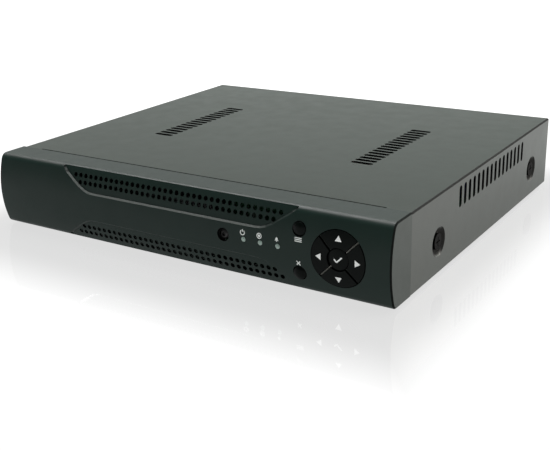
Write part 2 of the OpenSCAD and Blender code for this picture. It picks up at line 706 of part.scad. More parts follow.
module bnc_contacts() color([0.8, 0.65, 0.3]) for (i = [0:3], z = bnc_z) {
    x = bnc_x0 + i * bnc_pitch;
    difference() {
        bar_y(x, z, 0.85, block_y1 - 1.9, y_tip - 1.3);
        bar_y(x, z, 0.45, y_rear, y_tip);
    }
}

module rca_block() color([0.06, 0.06, 0.06])
    box([rca_x - 6, block_y0, pcb_top], [rca_x + 6, block_y1, pcb_top + 28.5]);

module rca_shells() color([0.8, 0.8, 0.78]) for (z = rca_z) difference() {
    union() {
        bar_y(rca_x, z, 5, block_y1, y_rear + 1.2);
        bar_y(rca_x, z, rca_r, y_rear, y_rear + 9.2);
    }
    bar_y(rca_x, z, 3.45, block_y1 - 1, y_rear + 12);
}

module rca_insulators() color([0.75, 0.08, 0.06]) for (z = rca_z) difference() {
    bar_y(rca_x, z, 3.4, block_y1 + 0.05, y_rear + 8.2);
    bar_y(rca_x, z, rca_pin_r, block_y1 + 0.5, y_rear + 12);
}

// D-shaped outline of the monitor socket, w wide and h high.
module d_outline(w, h)
    polygon([[-w / 2, h / 2], [w / 2, h / 2], [w / 2 - h * 0.18, -h / 2], [-w / 2 + h * 0.18, -h / 2]]);

module d_prism(w, h, y0, y1)
    translate([vga_x, y1, vga_z]) rotate([90, 0, 0]) linear_extrude(y1 - y0) d_outline(w, h);

module vga_shell() color([0.72, 0.72, 0.72]) difference() {
    union() {
        box([vga_x - 15.4, panel_in - 0.9, vga_z - 6], [vga_x + 15.4, panel_in - 0.1, vga_z + 6]);
        d_prism(16.9, 8.3, panel_in - 0.9, y_rear + 5);
    }
    d_prism(15.9, 7.3, panel_in - 2, y_rear + 6);
    for (s = [-1, 1]) bar_y(vga_x + s * jack_gap / 2, vga_z, 1.6, panel_in - 2, y_rear + 1);
}

module vga_insert() color([0.1, 0.2, 0.55]) difference() {
    union() {
        d_prism(15.8, 7.2, panel_in - 1.5, y_rear + 4.6);
        box([vga_x - 9, panel_in - 13, pcb_top], [vga_x + 9, panel_in - 1, vga_z + 5]);
    }
    for (row = [-1:1], i = [-2:2])
        bar_y(vga_x + i * 2.29 + row * 0.5, vga_z + row * 1.98, 0.55, y_rear - 1, y_rear + 6);
}

module vga_jackscrews() color([0.75, 0.75, 0.76]) for (s = [-1, 1]) difference() {
    union() {
        translate([vga_x + s * jack_gap / 2, y_rear, vga_z]) rotate([-90, 0, 0])
            cylinder(r = 2.75, h = 5, $fn = 6);
        bar_y(vga_x + s * jack_gap / 2, vga_z, 1.5, panel_in - 3, y_rear + 1);
    }
    bar_y(vga_x + s * jack_gap / 2, vga_z, jack_bore_r, y_rear - 0.6, y_rear + 6);
}

module hdmi_shell() color([0.75, 0.75, 0.75]) difference() {
    box([hdmi_x - 7.5, block_y0 + 3, pcb_top], [hdmi_x + 7.5, y_rear + 0.8, pcb_top + 5.6]);
    box([hdmi_x - 7.1, block_y0 + 6, pcb_top + 0.4], [hdmi_x + 7.1, y_rear + 2, pcb_top + 5.2]);
}

module lan_shell() color([0.75, 0.75, 0.75]) difference() {
    box([lan_x - 8, y_rear - 20, pcb_top], [lan_x + 8, y_rear + 0.8, pcb_top + 13.4]);
    box([lan_x - 7.6, y_rear - 19.6, pcb_top + 0.4], [lan_x + 7.6, y_rear + 2, pcb_top + 13]);
}

lan_mouth = [[lan_x - 5.9, y_rear - 13, pcb_top + 3.6], [lan_x + 5.9, y_rear + 2, pcb_top + 11.6]];
module lan_insert() color([0.08, 0.08, 0.08]) difference() {
    box([lan_x - 7.55, y_rear - 19.5, pcb_top + 0.45], [lan_x + 7.55, y_rear + 0.6, pcb_top + 12.95]);
    box(lan_mouth[0], lan_mouth[1]);
    box([lan_x - 3, y_rear - 13, pcb_top + 1.6], [lan_x + 3, y_rear + 2, pcb_top + 4]);
}

usb_slot_z = [pcb_top + 1, pcb_top + 9.4];
usb_slot_h = 5.2;
module usb_shell() color([0.75, 0.75, 0.75]) difference() {
    box([usb_x - 6.7, block_y0 - 2, pcb_top], [usb_x + 6.7, y_rear + 0.8, pcb_top + 15.6]);
    for (z = usb_slot_z) box([usb_x - 6.25, block_y0 + 1, z], [usb_x + 6.25, y_rear + 2, z + usb_slot_h]);
}

module port_tongues() color([0.06, 0.06, 0.06]) {
    for (z = usb_slot_z) {
        box([usb_x - 5.4, block_y0 + 1.05, z + 2.7], [usb_x + 5.4, y_rear - 0.6, z + 4.6]);
        box([usb_x - 6.2, block_y0 + 1.05, z + 0.05], [usb_x + 6.2, block_y0 + 2.5, z + usb_slot_h - 0.05]);
    }
    box([hdmi_x - 5.4, block_y0 + 6.05, pcb_top + 2.4], [hdmi_x + 5.4, y_rear - 0.6, pcb_top + 3.3]);
    box([hdmi_x - 7.05, block_y0 + 6.05, pcb_top + 0.45], [hdmi_x + 7.05, block_y0 + 7.5, pcb_top + 5.15]);
}

module dc_jack() color([0.06, 0.06, 0.06]) difference() {
    box([dc_x - 4.5, block_y0 + 1, pcb_top], [dc_x + 4.5, y_rear + 0.6, pcb_top + 11]);
    bar_y(dc_x, dc_z, 3.2, y_rear - 9, y_rear + 2);
    bar_y(dc_x, dc_z, 1.04, y_rear - 12, y_rear + 2);
}

module dc_pin() color([0.8, 0.8, 0.78]) bar_y(dc_x, dc_z, 1, y_rear - 11.9, y_rear - 1);

// ---- Disk drive ----

module hard_drive() color([0.62, 0.63, 0.65]) difference() {
    box([hdd_x0, hdd_y0, hdd_z], [hdd_x1, hdd_y0 + hdd_w, hdd_z + hdd_h]);
    // pocket for the circuit board and its sockets
    box([hdd_x0 + 16, hdd_y0 + 10, hdd_z - 1], [hdd_x1 - 3, hdd_y0 + hdd_w - 10, hdd_z + 3]);
    box([hdd_x1 - 8, hdd_y0 + 20, hdd_z - 1], [hdd_x1 + 1, hdd_y0 + 66, hdd_z + 9]);
    for (x = hdd_screw_x, y = hdd_screw_y) translate([x, y, hdd_z - 1]) cylinder(r = 1.62, h = 6);
    for (x = hdd_screw_x, s = [0, 1]) translate([x, hdd_y0 + s * hdd_w, hdd_z + 6.4]) rotate([90, 0, 0])
        cylinder(r = 1.6, h = 9, center = true);
}

module drive_lid() color([0.78, 0.79, 0.8]) {
    box([hdd_x0 + 3, hdd_y0 + 3, hdd_z + hdd_h], [hdd_x1 - 12, hdd_y0 + hdd_w - 3, hdd_z + hdd_h + 1]);
    translate([hdd_x0 + 52, hdd_y0 + hdd_w / 2, hdd_z + hdd_h + 1 - eps]) cylinder(r = 40, h = 0.5);
}

module drive_board() color([0.05, 0.22, 0.14]) {
    box([hdd_x0 + 17, hdd_y0 + 11, hdd_z + 0.3], [hdd_x1 - 4, hdd_y0 + hdd_w - 11, hdd_z + 1.9]);
    box([hdd_x1 - 7.5, hdd_y0 + 21, hdd_z + 1.8], [hdd_x1, hdd_y0 + 65, hdd_z + 8]);
}

module drive_screws() color([0.7, 0.7, 0.72])
    for (x = hdd_screw_x, y = hdd_screw_y) translate([x, y, z_base]) mirror([0, 0, 1])
        pan_screw(3, 1.5, 1.6, 7);

plug_y = [hdd_y0 + 23, hdd_y0 + 36, hdd_y0 + 40, hdd_y0 + 64];
sata_turn_y = (plug_y[0] + plug_y[1]) / 2;
module sata_cable() color([0.7, 0.1, 0.08]) {
    box([hdd_x1 + 0.1, plug_y[0], hdd_z], [hdd_x1 + 9, plug_y[1], hdd_z + 17]);
    translate([0, 0, 17]) linear_extrude(1.6) {
        translate([hdd_x1 + 8.9, sata_turn_y - 3.5]) square([sata_x + 3.5 - hdd_x1 - 8.9 - 4, 7]);
        translate([sata_x - 3.5, sata_turn_y + 0.5]) square([7, pcb_y0 - sata_turn_y + 1.6]);
        translate([sata_x - 0.5, sata_turn_y + 0.5]) circle(r = 4);
    }
    box([sata_x - 6, pcb_y0 + 2, pcb_top + 6.1], [sata_x + 6, pcb_y0 + 9, pcb_top + 15]);
}

module sata_power_cable() color([0.1, 0.1, 0.1]) {
    box([hdd_x1 + 0.1, plug_y[2], hdd_z], [hdd_x1 + 7, plug_y[3], hdd_z + 17]);
    for (i = [0:3]) {
        x = 29 - i * 2.4;
        y = plug_y[2] + 3 + i * 5;
        translate([0, 0, 18.5]) strip([[hdd_x1 + 6.9, y], [x - 1, y], [x, y + 1], [x, pcb_y0 - 16],
            [x - 16, pcb_y0], [x - 16, pcb_y0 + 2.5]], 1.4, 1.4);
    }
    box([power_x - 18, pcb_y0 + 2, pcb_top + 8.1], [power_x - 6, pcb_y0 + 9, pcb_top + 15]);
}

// ---- Fan ----

module fan_frame() color([0.05, 0.05, 0.05]) {
    difference() {
        box([fan_x - fan_w / 2, fan_y0, fan_z - fan_w / 2], [fan_x + fan_w / 2, panel_in, fan_z + fan_w / 2]);
        bar_y(fan_x, fan_z, fan_bore_r, fan_y0 - 1, panel_in + 1);
        for (sx = [-1, 1], sz = [-1, 1])
            bar_y(fan_x + sx * fan_screw, fan_z + sz * fan_screw, 1.62, fan_y0 - 1, panel_in + 1);
    }
    bar_y(fan_x, fan_z, 9.5, panel_in - 1.6, panel_in - 0.1);
    for (a = [0, 90]) translate([fan_x, panel_in - 0.9, fan_z]) rotate([0, a + 20, 0])
        cube([2 * fan_bore_r + 0.6, 1.4, 2], center = true);
    bar_y(fan_x, fan_z, fan_shaft_r, fan_y0 + 2, panel_in - 1);
}

module fan_rotor() color([0.09, 0.09, 0.1]) difference() {
    union() {
        bar_y(fan_x, fan_z, 10.5, fan_y0 + 0.3, panel_in - 2);
        intersection() {
            for (i = [0:6]) translate([fan_x, fan_y0 + 4.2, fan_z]) rotate([0, i * 360 / 7, 0])
                translate([14, 0, 0]) rotate([38, 0, 0]) cube([12, 1.2, 11], center = true);
            bar_y(fan_x, fan_z, 18.3, fan_y0 + 0.5, panel_in - 2.2);
        }
    }
    bar_y(fan_x, fan_z, fan_shaft_r + fan_shaft_gap, fan_y0 - 1, panel_in);
}

module fan_screws() color([0.1, 0.1, 0.1]) for (sx = [-1, 1], sz = [-1, 1])
    translate([fan_x + sx * fan_screw, y_rear, fan_z + sz * fan_screw]) rotate([-90, 0, 0])
        pan_screw(2.9, 1.8, 1.6, 9);

fan_lead_x = -107.5;
module fan_cable() color([0.75, 0.1, 0.08]) for (i = [0:1])
    translate([0, 0, 11.5 + i * 1.6]) strip([[fan_lead_x, fan_y0], [fan_lead_x, pcb_y0 + 64],
        [fan_lead_x + 4, pcb_y0 + 60], [fan_plug_x - 2, pcb_y0 + 60], [fan_plug_x, pcb_y0 + 58],
        [fan_plug_x, pcb_y0 + 44]], 1.2, 1.2);

base_chassis();
board_standoffs();
top_cover();
front_bezel();
rubber_feet();
side_screws();
machine_screws();
bezel_screws();
ir_receiver();
status_leds();
key_board();
tact_switches();
key_cable();
key_up();
key_down();
key_left();
key_right();
key_enter();
key_menu();
key_escape();
plunger(0);  // plunger_up
plunger(1);  // plunger_down
plunger(2);  // plunger_left
plunger(3);  // plunger_right
plunger(4);  // plunger_enter
plunger(5);  // plunger_menu
plunger(6);  // plunger_escape
main_board();
board_chips();
board_capacitors();
board_headers();
coin_cell();
heatsink();
bnc_block();
bnc_shells();
bnc_insulators();
bnc_contacts();
rca_block();
rca_shells();
rca_insulators();
vga_shell();
vga_insert();
vga_jackscrews();
hdmi_shell();
lan_shell();
lan_insert();
usb_shell();
port_tongues();
dc_jack();
dc_pin();
hard_drive();
drive_lid();
drive_board();
drive_screws();
sata_cable();
sata_power_cable();
fan_frame();
fan_rotor();
fan_screws();
fan_cable();
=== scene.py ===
"""Digital video recorder: materials, fine edges, printed marks, light and camera round the CAD frame."""
import json
import math

import bmesh
import bpy
from mathutils import Matrix, Vector


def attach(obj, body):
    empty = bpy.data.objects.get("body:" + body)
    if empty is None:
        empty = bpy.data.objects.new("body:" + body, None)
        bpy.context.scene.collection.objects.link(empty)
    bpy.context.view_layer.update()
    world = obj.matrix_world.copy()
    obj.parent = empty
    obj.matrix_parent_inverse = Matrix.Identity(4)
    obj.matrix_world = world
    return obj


MM = 0.001
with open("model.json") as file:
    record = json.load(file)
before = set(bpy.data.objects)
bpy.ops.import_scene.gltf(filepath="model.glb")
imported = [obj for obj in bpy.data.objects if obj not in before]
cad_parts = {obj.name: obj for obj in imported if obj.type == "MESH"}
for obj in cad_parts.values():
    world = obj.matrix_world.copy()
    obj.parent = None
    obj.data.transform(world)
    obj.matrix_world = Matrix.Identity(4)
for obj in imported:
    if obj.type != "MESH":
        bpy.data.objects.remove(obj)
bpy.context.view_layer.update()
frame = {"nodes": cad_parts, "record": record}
nodes = frame["nodes"]

# Places on the object, in millimetres
Z_MID = 26.5          # middle of the case's height and of the front
COVER_TOP = 51.0      # the cover's upper face
SIDE_X = 150.0        # the cover's sides, either way from the middle
SEATS_TOP = 40.0      # just above the pressed screw seats in the sides
LIP_Y = 125.0         # just in front of the cover's rear lip
Y_FACE = -138.25      # the front's foremost line
FACE_R = 66.0         # radius of the front's bulge
HOLES_X = 139.0       # every hole through the front is within this, either way from the middle,
HOLES_DZ = 21.2       # and within this, up and down from Z_MID
RECESS_X = 93.0       # the upper grille recess ends before this, either way from the middle
RECESS_FOOT = 33.0    # just under its lower edge
RECESS_HEAD = 47.5    # just under the front's upper edge, where its slanted ends run out
PAD_X = 118.3         # middle of the four-way pad
PAD_R = 16.6          # the pad's radius
PAD_LIFT = 0.3        # the pad stands this far proud of the front
ENTER_R = 30.0        # radius of the middle key's dome
ENTER_LIFT = 0.1      # its top stands this far proud of the front
SMALL_KEY_X = 93.0    # the two small round keys
LAMP_X = {"power": 55.9, "record": 67.5, "alarm": 79.4}


# ---------------------------------------------------------------- shader helpers

def new_material(name):
    material = bpy.data.materials.new(name)
    material.use_nodes = True
    return material, material.node_tree, material.node_tree.nodes["Principled BSDF"]


def add(tree, kind, **values):
    """A node of that kind, with its properties and inputs set by name."""
    node = tree.nodes.new("ShaderNode" + kind)
    for key, value in values.items():
        if key in node.inputs:
            node.inputs[key].default_value = value
        else:
            setattr(node, key, value)
    return node


def set_or_link(tree, socket, value):
    """Gives an input a constant, or the output of another node."""
    if isinstance(value, bpy.types.NodeSocket):
        tree.links.new(value, socket)
    else:
        socket.default_value = value


def noise(tree, size, detail=3.0, stretch=(1, 1, 1)):
    """Noise in the object's own metres, with blobs of about that size."""
    place = add(tree, "TexCoord")
    mapping = add(tree, "Mapping", Scale=stretch)
    texture = add(tree, "TexNoise", Scale=1 / size, Detail=detail)
    tree.links.new(place.outputs["Object"], mapping.inputs["Vector"])
    tree.links.new(mapping.outputs["Vector"], texture.inputs["Vector"])
    return texture.outputs["Fac"]


def ramp(tree, source, start, end, low, high, soft):
    node = add(tree, "MapRange", interpolation_type="SMOOTHSTEP" if soft else "LINEAR")
    for key, value in (("From Min", start), ("From Max", end), ("To Min", low), ("To Max", high)):
        node.inputs[key].default_value = value
    tree.links.new(source, node.inputs["Value"])
    return node.outputs["Result"]


def spread(tree, source, low, high, start=0.3, end=0.7):
    """Maps a signal from start..end onto low..high."""
    return ramp(tree, source, start, end, low, high, soft=False)


def smooth(tree, source, start, end):
    """Rises from 0 at start to 1 at end, with soft ends."""
    return ramp(tree, source, start, end, 0.0, 1.0, soft=True)


def rise(tree, source, start, end):
    """0 before start and 1 past end, in millimetres."""
    return spread(tree, source, 0.0, 1.0, start * MM, end * MM)


def fall(tree, source, start, end):
    """1 before start and 0 past end, in millimetres."""
    return spread(tree, source, 1.0, 0.0, start * MM, end * MM)


def math_of(tree, operation, first, second=0.0):
    node = add(tree, "Math", operation=operation)
    for socket, value in zip(node.inputs, (first, second)):
        set_or_link(tree, socket, value)
    return node.outputs[0]


def size_of(tree, value):
    """The value without its sign."""
    return math_of(tree, "ABSOLUTE", value)


def product(tree, result, *factors):
    for factor in factors:
        result = math_of(tree, "MULTIPLY", result, factor)
    return result


def mixed(tree, share, first, second):
    """A colour between two colours or colour outputs."""
    node = add(tree, "Mix", data_type="RGBA")
    tree.links.new(share, node.inputs["Factor"])
    for socket, value in ((node.inputs[6], first), (node.inputs[7], second)):
        set_or_link(tree, socket, (*value, 1) if isinstance(value, tuple) else value)
    return node.outputs[2]


def split(tree, kind, output):
    """X, Y and Z of a place or a normal."""
    parts = add(tree, "SeparateXYZ")
    tree.links.new(add(tree, kind).outputs[output], parts.inputs[0])
    return parts.outputs


def place_of(tree):
    return split(tree, "TexCoord", "Object")


def normal_of(tree):
    return split(tree, "NewGeometry", "Normal")


# ---------------------------------------------------------------- parts of a surface

def edge_share(tree, radius):
    """1 on sharp edges and 0 on flats: how far a rounded normal leans away from the true one."""
    bevel = add(tree, "Bevel", samples=4, Radius=radius)
    dot = add(tree, "VectorMath", operation="DOT_PRODUCT")
    tree.links.new(bevel.outputs["Normal"], dot.inputs[0])
    tree.links.new(add(tree, "NewGeometry").outputs["Normal"], dot.inputs[1])
    return spread(tree, dot.outputs["Value"], 1.0, 0.0, 0.82, 0.995)


def recess_shade(tree):
    """1 inside the cover's pressed screw seats and on its inner faces, and 0 on its outer faces."""
    place = place_of(tree)
    inward = fall(tree, size_of(tree, place["X"]), SIDE_X - 1.2, SIDE_X - 0.2)
    return product(tree, inward, fall(tree, place["Z"], SEATS_TOP, SEATS_TOP + 2))


def crease_shade(tree):
    """1 along the bends between the top and the sides, and along the moulding's upright front edges."""
    normal, place = normal_of(tree), place_of(tree)
    lean = size_of(tree, product(tree, normal["X"], normal["Z"]))
    bends = product(tree, smooth(tree, lean, 0.06, 0.3),
                    rise(tree, place["Z"], COVER_TOP - 4.5, COVER_TOP - 3.5))
    turn = size_of(tree, product(tree, normal["X"], normal["Y"]))
    outer = rise(tree, size_of(tree, place["X"]), SIDE_X - 1.2, SIDE_X - 0.8)
    return math_of(tree, "MAXIMUM", bends, product(tree, smooth(tree, turn, 0.1, 0.35), outer))


def slot_shade(tree):
    """1 on the cover's slot walls and along its front cut-back."""
    along = size_of(tree, normal_of(tree)["Y"])
    return product(tree, spread(tree, along, 0.0, 1.0, 0.2, 0.4),
                   fall(tree, place_of(tree)["Y"], LIP_Y, LIP_Y + 1))


def hole_shade(tree):
    """1 on the walls of the holes through the front."""
    facing = size_of(tree, normal_of(tree)["Y"])
    place = place_of(tree)
    up = size_of(tree, math_of(tree, "SUBTRACT", place["Z"], Z_MID * MM))
    return product(tree, spread(tree, facing, 1.0, 0.0, 0.2, 0.3),
                   fall(tree, size_of(tree, place["X"]), HOLES_X, HOLES_X + 1),
                   fall(tree, up, HOLES_DZ, HOLES_DZ + 0.4))


def painted_return_light(tree):
    """Painted light: most of the way to 1 on the moulding's top, bottom and sides, which are painted lighter
    than its face, and 0 on its face.
    """
    return spread(tree, size_of(tree, normal_of(tree)["Y"]), 0.7, 0.0, 0.5, 0.9)


def painted_rim_highlight(tree):
    """Painted highlight: 1 on the chamfers that face up round the upper grille recess, fading on the one that
    faces left.
    """
    normal, place = normal_of(tree), place_of(tree)
    upward = spread(tree, normal["Z"], 0.0, 1.0, 0.36, 0.48)
    forward = spread(tree, normal["Y"], 1.0, 0.0, -0.5, -0.3)
    not_left = spread(tree, normal["X"], 0.0, 1.0, -0.3, -0.03)
    below = math_of(tree, "MAXIMUM", fall(tree, place["Z"], RECESS_HEAD, RECESS_HEAD + 1),
                    spread(tree, normal["X"], 0.0, 1.0, 0.15, 0.25))
    near = fall(tree, size_of(tree, place["X"]), RECESS_X, RECESS_X + 1)
    return product(tree, upward, forward, not_left, below, near,
                   rise(tree, place["Z"], RECESS_FOOT, RECESS_FOOT + 1))


def painted_rib_light(tree):
    """Painted light: 1 on the ribs between the four arrow keys, brightest on the diagonal that rises to the
    right.
    """
    place = place_of(tree)
    across = math_of(tree, "SUBTRACT", place["X"], PAD_X * MM)
    up = math_of(tree, "SUBTRACT", place["Z"], Z_MID * MM)
    away = math_of(tree, "SQRT", math_of(tree, "ADD", product(tree, across, across), product(tree, up, up)))
    quarter = product(tree, math_of(tree, "SIGN", across), math_of(tree, "SIGN", up))
    return product(tree, spread(tree, quarter, 0.15, 1.0, -0.5, 0.5), fall(tree, away, PAD_R, PAD_R + 0.2))


# ---------------------------------------------------------------- materials

EDGE_R = 0.5 * MM        # how far wear reaches from an edge
CHIP_SIZE = 1.5 * MM     # worn spots along it
RELIEF = 0.05 * MM       # height of the finest bumps
COAT_ROUGH = 0.12
CREVICE_SHADE_TONE = 0.12       # a crevice keeps this much of its colour under the painted shade
SHADE_TONE = 0.1         # and a shaded part this much


def dimmed(colour, share):
    return tuple(share * value for value in colour)


def finish(name, colour, rough, metallic=0.0, grain=0.5 * MM, bump=0.1, mottle=0.08, patch=30 * MM,
           rough_spread=0.08, wear=0.0, wear_colour=(0.5, 0.5, 0.5), specular=0.5, coat=0.0,
           brushed=(1, 1, 1), painted_shade=0.5, reach=2 * MM, shades=(), lights=()):
    """A surface whose colour, roughness and height all vary, with worn edges and painted shade in its
    crevices.

    shades are functions that say where painted shade makes it darker and duller, and the painted lights are
    pairs of a function that says where light is painted and the colour painted there."""
    material, tree, shader = new_material(name)
    for key, value in (("Metallic", metallic), ("Specular IOR Level", specular), ("Coat Weight", coat),
                       ("Coat Roughness", COAT_ROUGH)):
        shader.inputs[key].default_value = value
    tone = mixed(tree, spread(tree, noise(tree, patch), 0, 1), dimmed(colour, 1 - mottle),
                 dimmed(colour, 1 + mottle))
    roughness = spread(tree, noise(tree, patch * 0.4), rough - rough_spread / 2, rough + rough_spread / 2)
    if wear:
        chips = spread(tree, noise(tree, CHIP_SIZE), 0.2 * wear, wear)
        tone = mixed(tree, product(tree, edge_share(tree, EDGE_R), chips), tone, wear_colour)
    # painted shade: the more enclosed a spot is, the darker and duller it is painted
    hollow = add(tree, "AmbientOcclusion", samples=6, Distance=reach)
    painted_shade_share = spread(tree, hollow.outputs["AO"], painted_shade, 0.0, 0.35, 0.85)
    tone = mixed(tree, painted_shade_share, tone, dimmed(colour, CREVICE_SHADE_TONE))
    # painted light and painted highlights laid over the colour
    for share_of, light_colour in lights:
        tone = mixed(tree, share_of(tree), tone, light_colour)
    # painted shade, darker and duller wherever each shade function says
    for shade_of in shades:
        shade = shade_of(tree)
        tone = mixed(tree, shade, tone, dimmed(colour, SHADE_TONE))
        painted_shade_share = math_of(tree, "MAXIMUM", painted_shade_share, shade)
    dulled = add(tree, "MapRange")
    tree.links.new(painted_shade_share, dulled.inputs["Value"])
    tree.links.new(roughness, dulled.inputs["To Min"])
    dulled.inputs["To Max"].default_value = 1.0
    relief = add(tree, "Bump", Strength=bump, Distance=RELIEF)
    tree.links.new(noise(tree, grain, 2.0, brushed), relief.inputs["Height"])
    tree.links.new(tone, shader.inputs["Base Color"])
    tree.links.new(dulled.outputs["Result"], shader.inputs["Roughness"])
    tree.links.new(relief.outputs["Normal"], shader.inputs["Normal"])
    return material


RED_SHEATH = dict(colour=(0.45, 0.02, 0.015), rough=0.4)

LOOKS = {
    "cover_paint": dict(
        colour=(0.0105, 0.0155, 0.0118), rough=0.34, rough_spread=0.05, specular=0.30, grain=0.45 * MM,
        bump=0.2, mottle=0.03, wear=0.4, wear_colour=(0.004, 0.006, 0.005), painted_shade=0.95,
        shades=(recess_shade, crease_shade, slot_shade)),
    "bezel_plastic": dict(
        colour=(0.0080, 0.0198, 0.0158), rough=0.44, specular=0.17, grain=0.35 * MM, bump=0.25,
        mottle=0.05, wear=0.15, wear_colour=(0.05, 0.06, 0.055), painted_shade=0.9,
        shades=(crease_shade, hole_shade),
        # painted light: lighter top, bottom and sides, a painted highlight on the recess rim, and lit ribs in
        # the pad
        lights=((painted_return_light, (0.0155, 0.0188, 0.0170)), (painted_rim_highlight, (0.102, 0.113, 0.107)),
                (painted_rib_light, (0.2, 0.2, 0.18)))),
    "tray_steel": dict(
        colour=(0.012, 0.013, 0.012), rough=0.5, specular=0.3, grain=0.8 * MM, mottle=0.1, patch=6 * MM,
        wear=0.3, wear_colour=(0.1, 0.1, 0.1)),
    "foot_rubber": dict(colour=(0.03, 0.03, 0.03), rough=0.8, grain=0.4 * MM, bump=0.4),
    "black_screw": dict(
        colour=(0.0012, 0.0014, 0.0013), rough=0.6, specular=0.03, wear=0.1,
        wear_colour=(0.02, 0.02, 0.02), painted_shade=0.9),
    "zinc_screw": dict(
        colour=(0.62, 0.62, 0.6), rough=0.3, metallic=1.0, wear=0.3, wear_colour=(0.8, 0.8, 0.8)),
    "receiver_plastic": dict(
        colour=(0.022, 0.022, 0.022), rough=0.3, specular=0.3, bump=0.02, painted_shade=0.8),
    "led_plastic": dict(colour=(0.28, 0.37, 0.33), rough=0.3, bump=0.02, coat=0.3),
    "circuit_board": dict(
        colour=(0.01, 0.09, 0.035), rough=0.35, grain=1 * MM, bump=0.2, mottle=0.25, patch=3 * MM),
    "switch_plastic": dict(colour=(0.03, 0.03, 0.03), rough=0.5),
    "ribbon_plastic": dict(colour=(0.7, 0.71, 0.68), rough=0.45),
    "key_plastic": dict(
        colour=(0.0014, 0.0028, 0.0023), rough=0.34, specular=0.07, grain=0.3 * MM, bump=0.08, mottle=0.1,
        wear=0.12, wear_colour=(0.03, 0.03, 0.03), painted_shade=0.9),
    "plunger_plastic": dict(colour=(0.6, 0.56, 0.45), rough=0.5),
    "chip_plastic": dict(colour=(0.025, 0.025, 0.027), rough=0.55),
    "capacitor_sleeve": dict(colour=(0.02, 0.03, 0.12), rough=0.25),
    "header_plastic": dict(colour=(0.7, 0.68, 0.6), rough=0.5),
    "cell_steel": dict(colour=(0.7, 0.7, 0.68), rough=0.25, metallic=1.0),
    "heatsink_aluminium": dict(
        colour=(0.7, 0.71, 0.72), rough=0.35, metallic=1.0, brushed=(1, 0.05, 1)),
    "port_plastic": dict(colour=(0.02, 0.02, 0.02), rough=0.45, grain=0.4 * MM, bump=0.2),
    "nickel": dict(
        colour=(0.66, 0.64, 0.6), rough=0.22, metallic=1.0, wear=0.2, wear_colour=(0.8, 0.8, 0.78),
        bump=0.05),
    "insulator_plastic": dict(colour=(0.8, 0.8, 0.76), rough=0.4),
    "contact_gold": dict(colour=(0.75, 0.52, 0.2), rough=0.25, metallic=1.0),
    "audio_plastic": dict(colour=(0.5, 0.02, 0.015), rough=0.35),
    "monitor_plastic": dict(colour=(0.02, 0.06, 0.35), rough=0.4),
    # painted shade: the casting's colour is darkened, and both drive finishes take crevice shade from far
    # around, for the shade inside the closed case
    "drive_casting": dict(
        colour=(0.14, 0.145, 0.15), rough=0.5, metallic=1.0, grain=1 * MM, bump=0.3, painted_shade=0.9,
        reach=25 * MM),
    "drive_steel": dict(
        colour=(0.4, 0.41, 0.42), rough=0.4, metallic=1.0, brushed=(0.05, 1, 1), painted_shade=0.9,
        reach=40 * MM),
    "data_cable_sheath": RED_SHEATH,
    "wire_sheath": dict(colour=(0.03, 0.03, 0.03), rough=0.45),
    "fan_plastic": dict(colour=(0.02, 0.02, 0.022), rough=0.45),
    "fan_wire_sheath": RED_SHEATH,
}
materials = {name: finish(name, **look) for name, look in LOOKS.items()}
for entry in frame["record"]["subparts"]:
    for slot in nodes[entry["node"]].material_slots:
        slot.material = materials[entry["material_slot"]]


# ---------------------------------------------------------------- fine edges

ARROW_KEY_EDGE = 0.55
EDGE_WIDTHS = {
    "front_bezel": 0.12, "top_cover": 0.12, "side_screws": 0.4, "key_enter": 0.5, "key_menu": 0.3,
    "key_escape": 0.3, "key_up": ARROW_KEY_EDGE, "key_down": ARROW_KEY_EDGE, "key_left": ARROW_KEY_EDGE,
    "key_right": ARROW_KEY_EDGE,
}


def soften(node_name, width):
    """Rounds a node's sharp edges a little, so that they catch the light."""
    bevel = nodes[node_name].modifiers.new("soft_edges", "BEVEL")
    bevel.width = width * MM
    bevel.segments = 3
    bevel.limit_method = "ANGLE"
    bevel.angle_limit = math.radians(40)
    bevel.miter_outer = "MITER_ARC"
    bevel.harden_normals = True


for node_name, edge_width in EDGE_WIDTHS.items():
    soften(node_name, edge_width)


# ---------------------------------------------------------------- printed marks

def face_y(x, z):
    """The bulging front's surface."""
    return Y_FACE + FACE_R - math.sqrt(FACE_R ** 2 - (z - Z_MID) ** 2)


def pad_y(x, z):
    """The pad's surface, a little proud of the front."""
    return Y_FACE + FACE_R - math.sqrt((FACE_R + PAD_LIFT) ** 2 - (z - Z_MID) ** 2)


def enter_y(x, z):
    """The middle key's domed surface."""
    return Y_FACE + ENTER_R - ENTER_LIFT - math.sqrt(ENTER_R ** 2 - (x - PAD_X) ** 2 - (z - Z_MID) ** 2)


def turned(shapes, angle):
    """Shapes turned about their middle, by degrees."""
    c, s = math.cos(math.radians(angle)), math.sin(math.radians(angle))
    return [[(x * c - z * s, x * s + z * c) for x, z in shape] for shape in shapes]


def moved(shapes, cx, cz):
    return [[(cx + x, cz + z) for x, z in shape] for shape in shapes]


def on_circle(radius, angle):
    return radius * math.cos(math.radians(angle)), radius * math.sin(math.radians(angle))


def arc(inner, outer, start, end, steps=24):
    """A ring, or part of one, as quads."""
    angles = [start + (end - start) * i / steps for i in range(steps + 1)]
    return [[on_circle(inner, a), on_circle(outer, a), on_circle(outer, b), on_circle(inner, b)]
            for a, b in zip(angles, angles[1:])]


def disc(radius, cz=0.0, steps=24):
    return moved([[on_circle(radius, 360 * i / steps) for i in range(steps)]], 0, cz)


def bar(cx, cz, width, height, turn=0.0):
    corners = [(-width / 2, -height / 2), (width / 2, -height / 2), (width / 2, height / 2),
               (-width / 2, height / 2)]
    return moved(turned([corners], turn), cx, cz)


